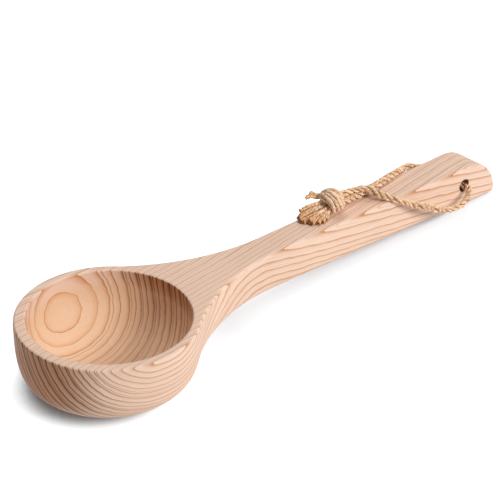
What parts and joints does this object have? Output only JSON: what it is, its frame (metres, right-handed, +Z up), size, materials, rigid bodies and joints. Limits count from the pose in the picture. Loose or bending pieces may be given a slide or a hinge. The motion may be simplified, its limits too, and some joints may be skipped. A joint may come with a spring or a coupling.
{
  "type": "sauna ladle",
  "caption": "Carved wooden ladle with a deep round bowl and a straight chunky handle, with a knotted loop of twine through the handle's end to hang it by.",
  "frame": {"origin": "under the middle of the wooden ladle, on the surface that it lies on", "axes": "+Z up, +X from the bowl to the tip of the handle, -Y towards the side that faces the viewer"},
  "size_m": [0.3728, 0.1052, 0.0515],
  "materials": {
    "wood": "fine-sanded and unvarnished, with straight close rings",
    "twine": "twisted natural fibre, slightly hairy"
  },
  "bodies": {
    "ladle": {"ladle_body": "wood"},
    "hanging_loop": {"twine_in_hole": "twine", "twine_near_leg": "twine", "twine_far_leg": "twine", "twine_knot": "twine", "twine_upper_tail": "twine", "twine_lower_tail": "twine"}
  },
  "joints": [
    {"name": "loop_swing", "type": "hinge", "parent": "ladle", "child": "hanging_loop", "pos_m": [0.1538, 0, 0.01807], "axis": [0, 1, 0], "range_deg": [0, 170]}
  ]
}
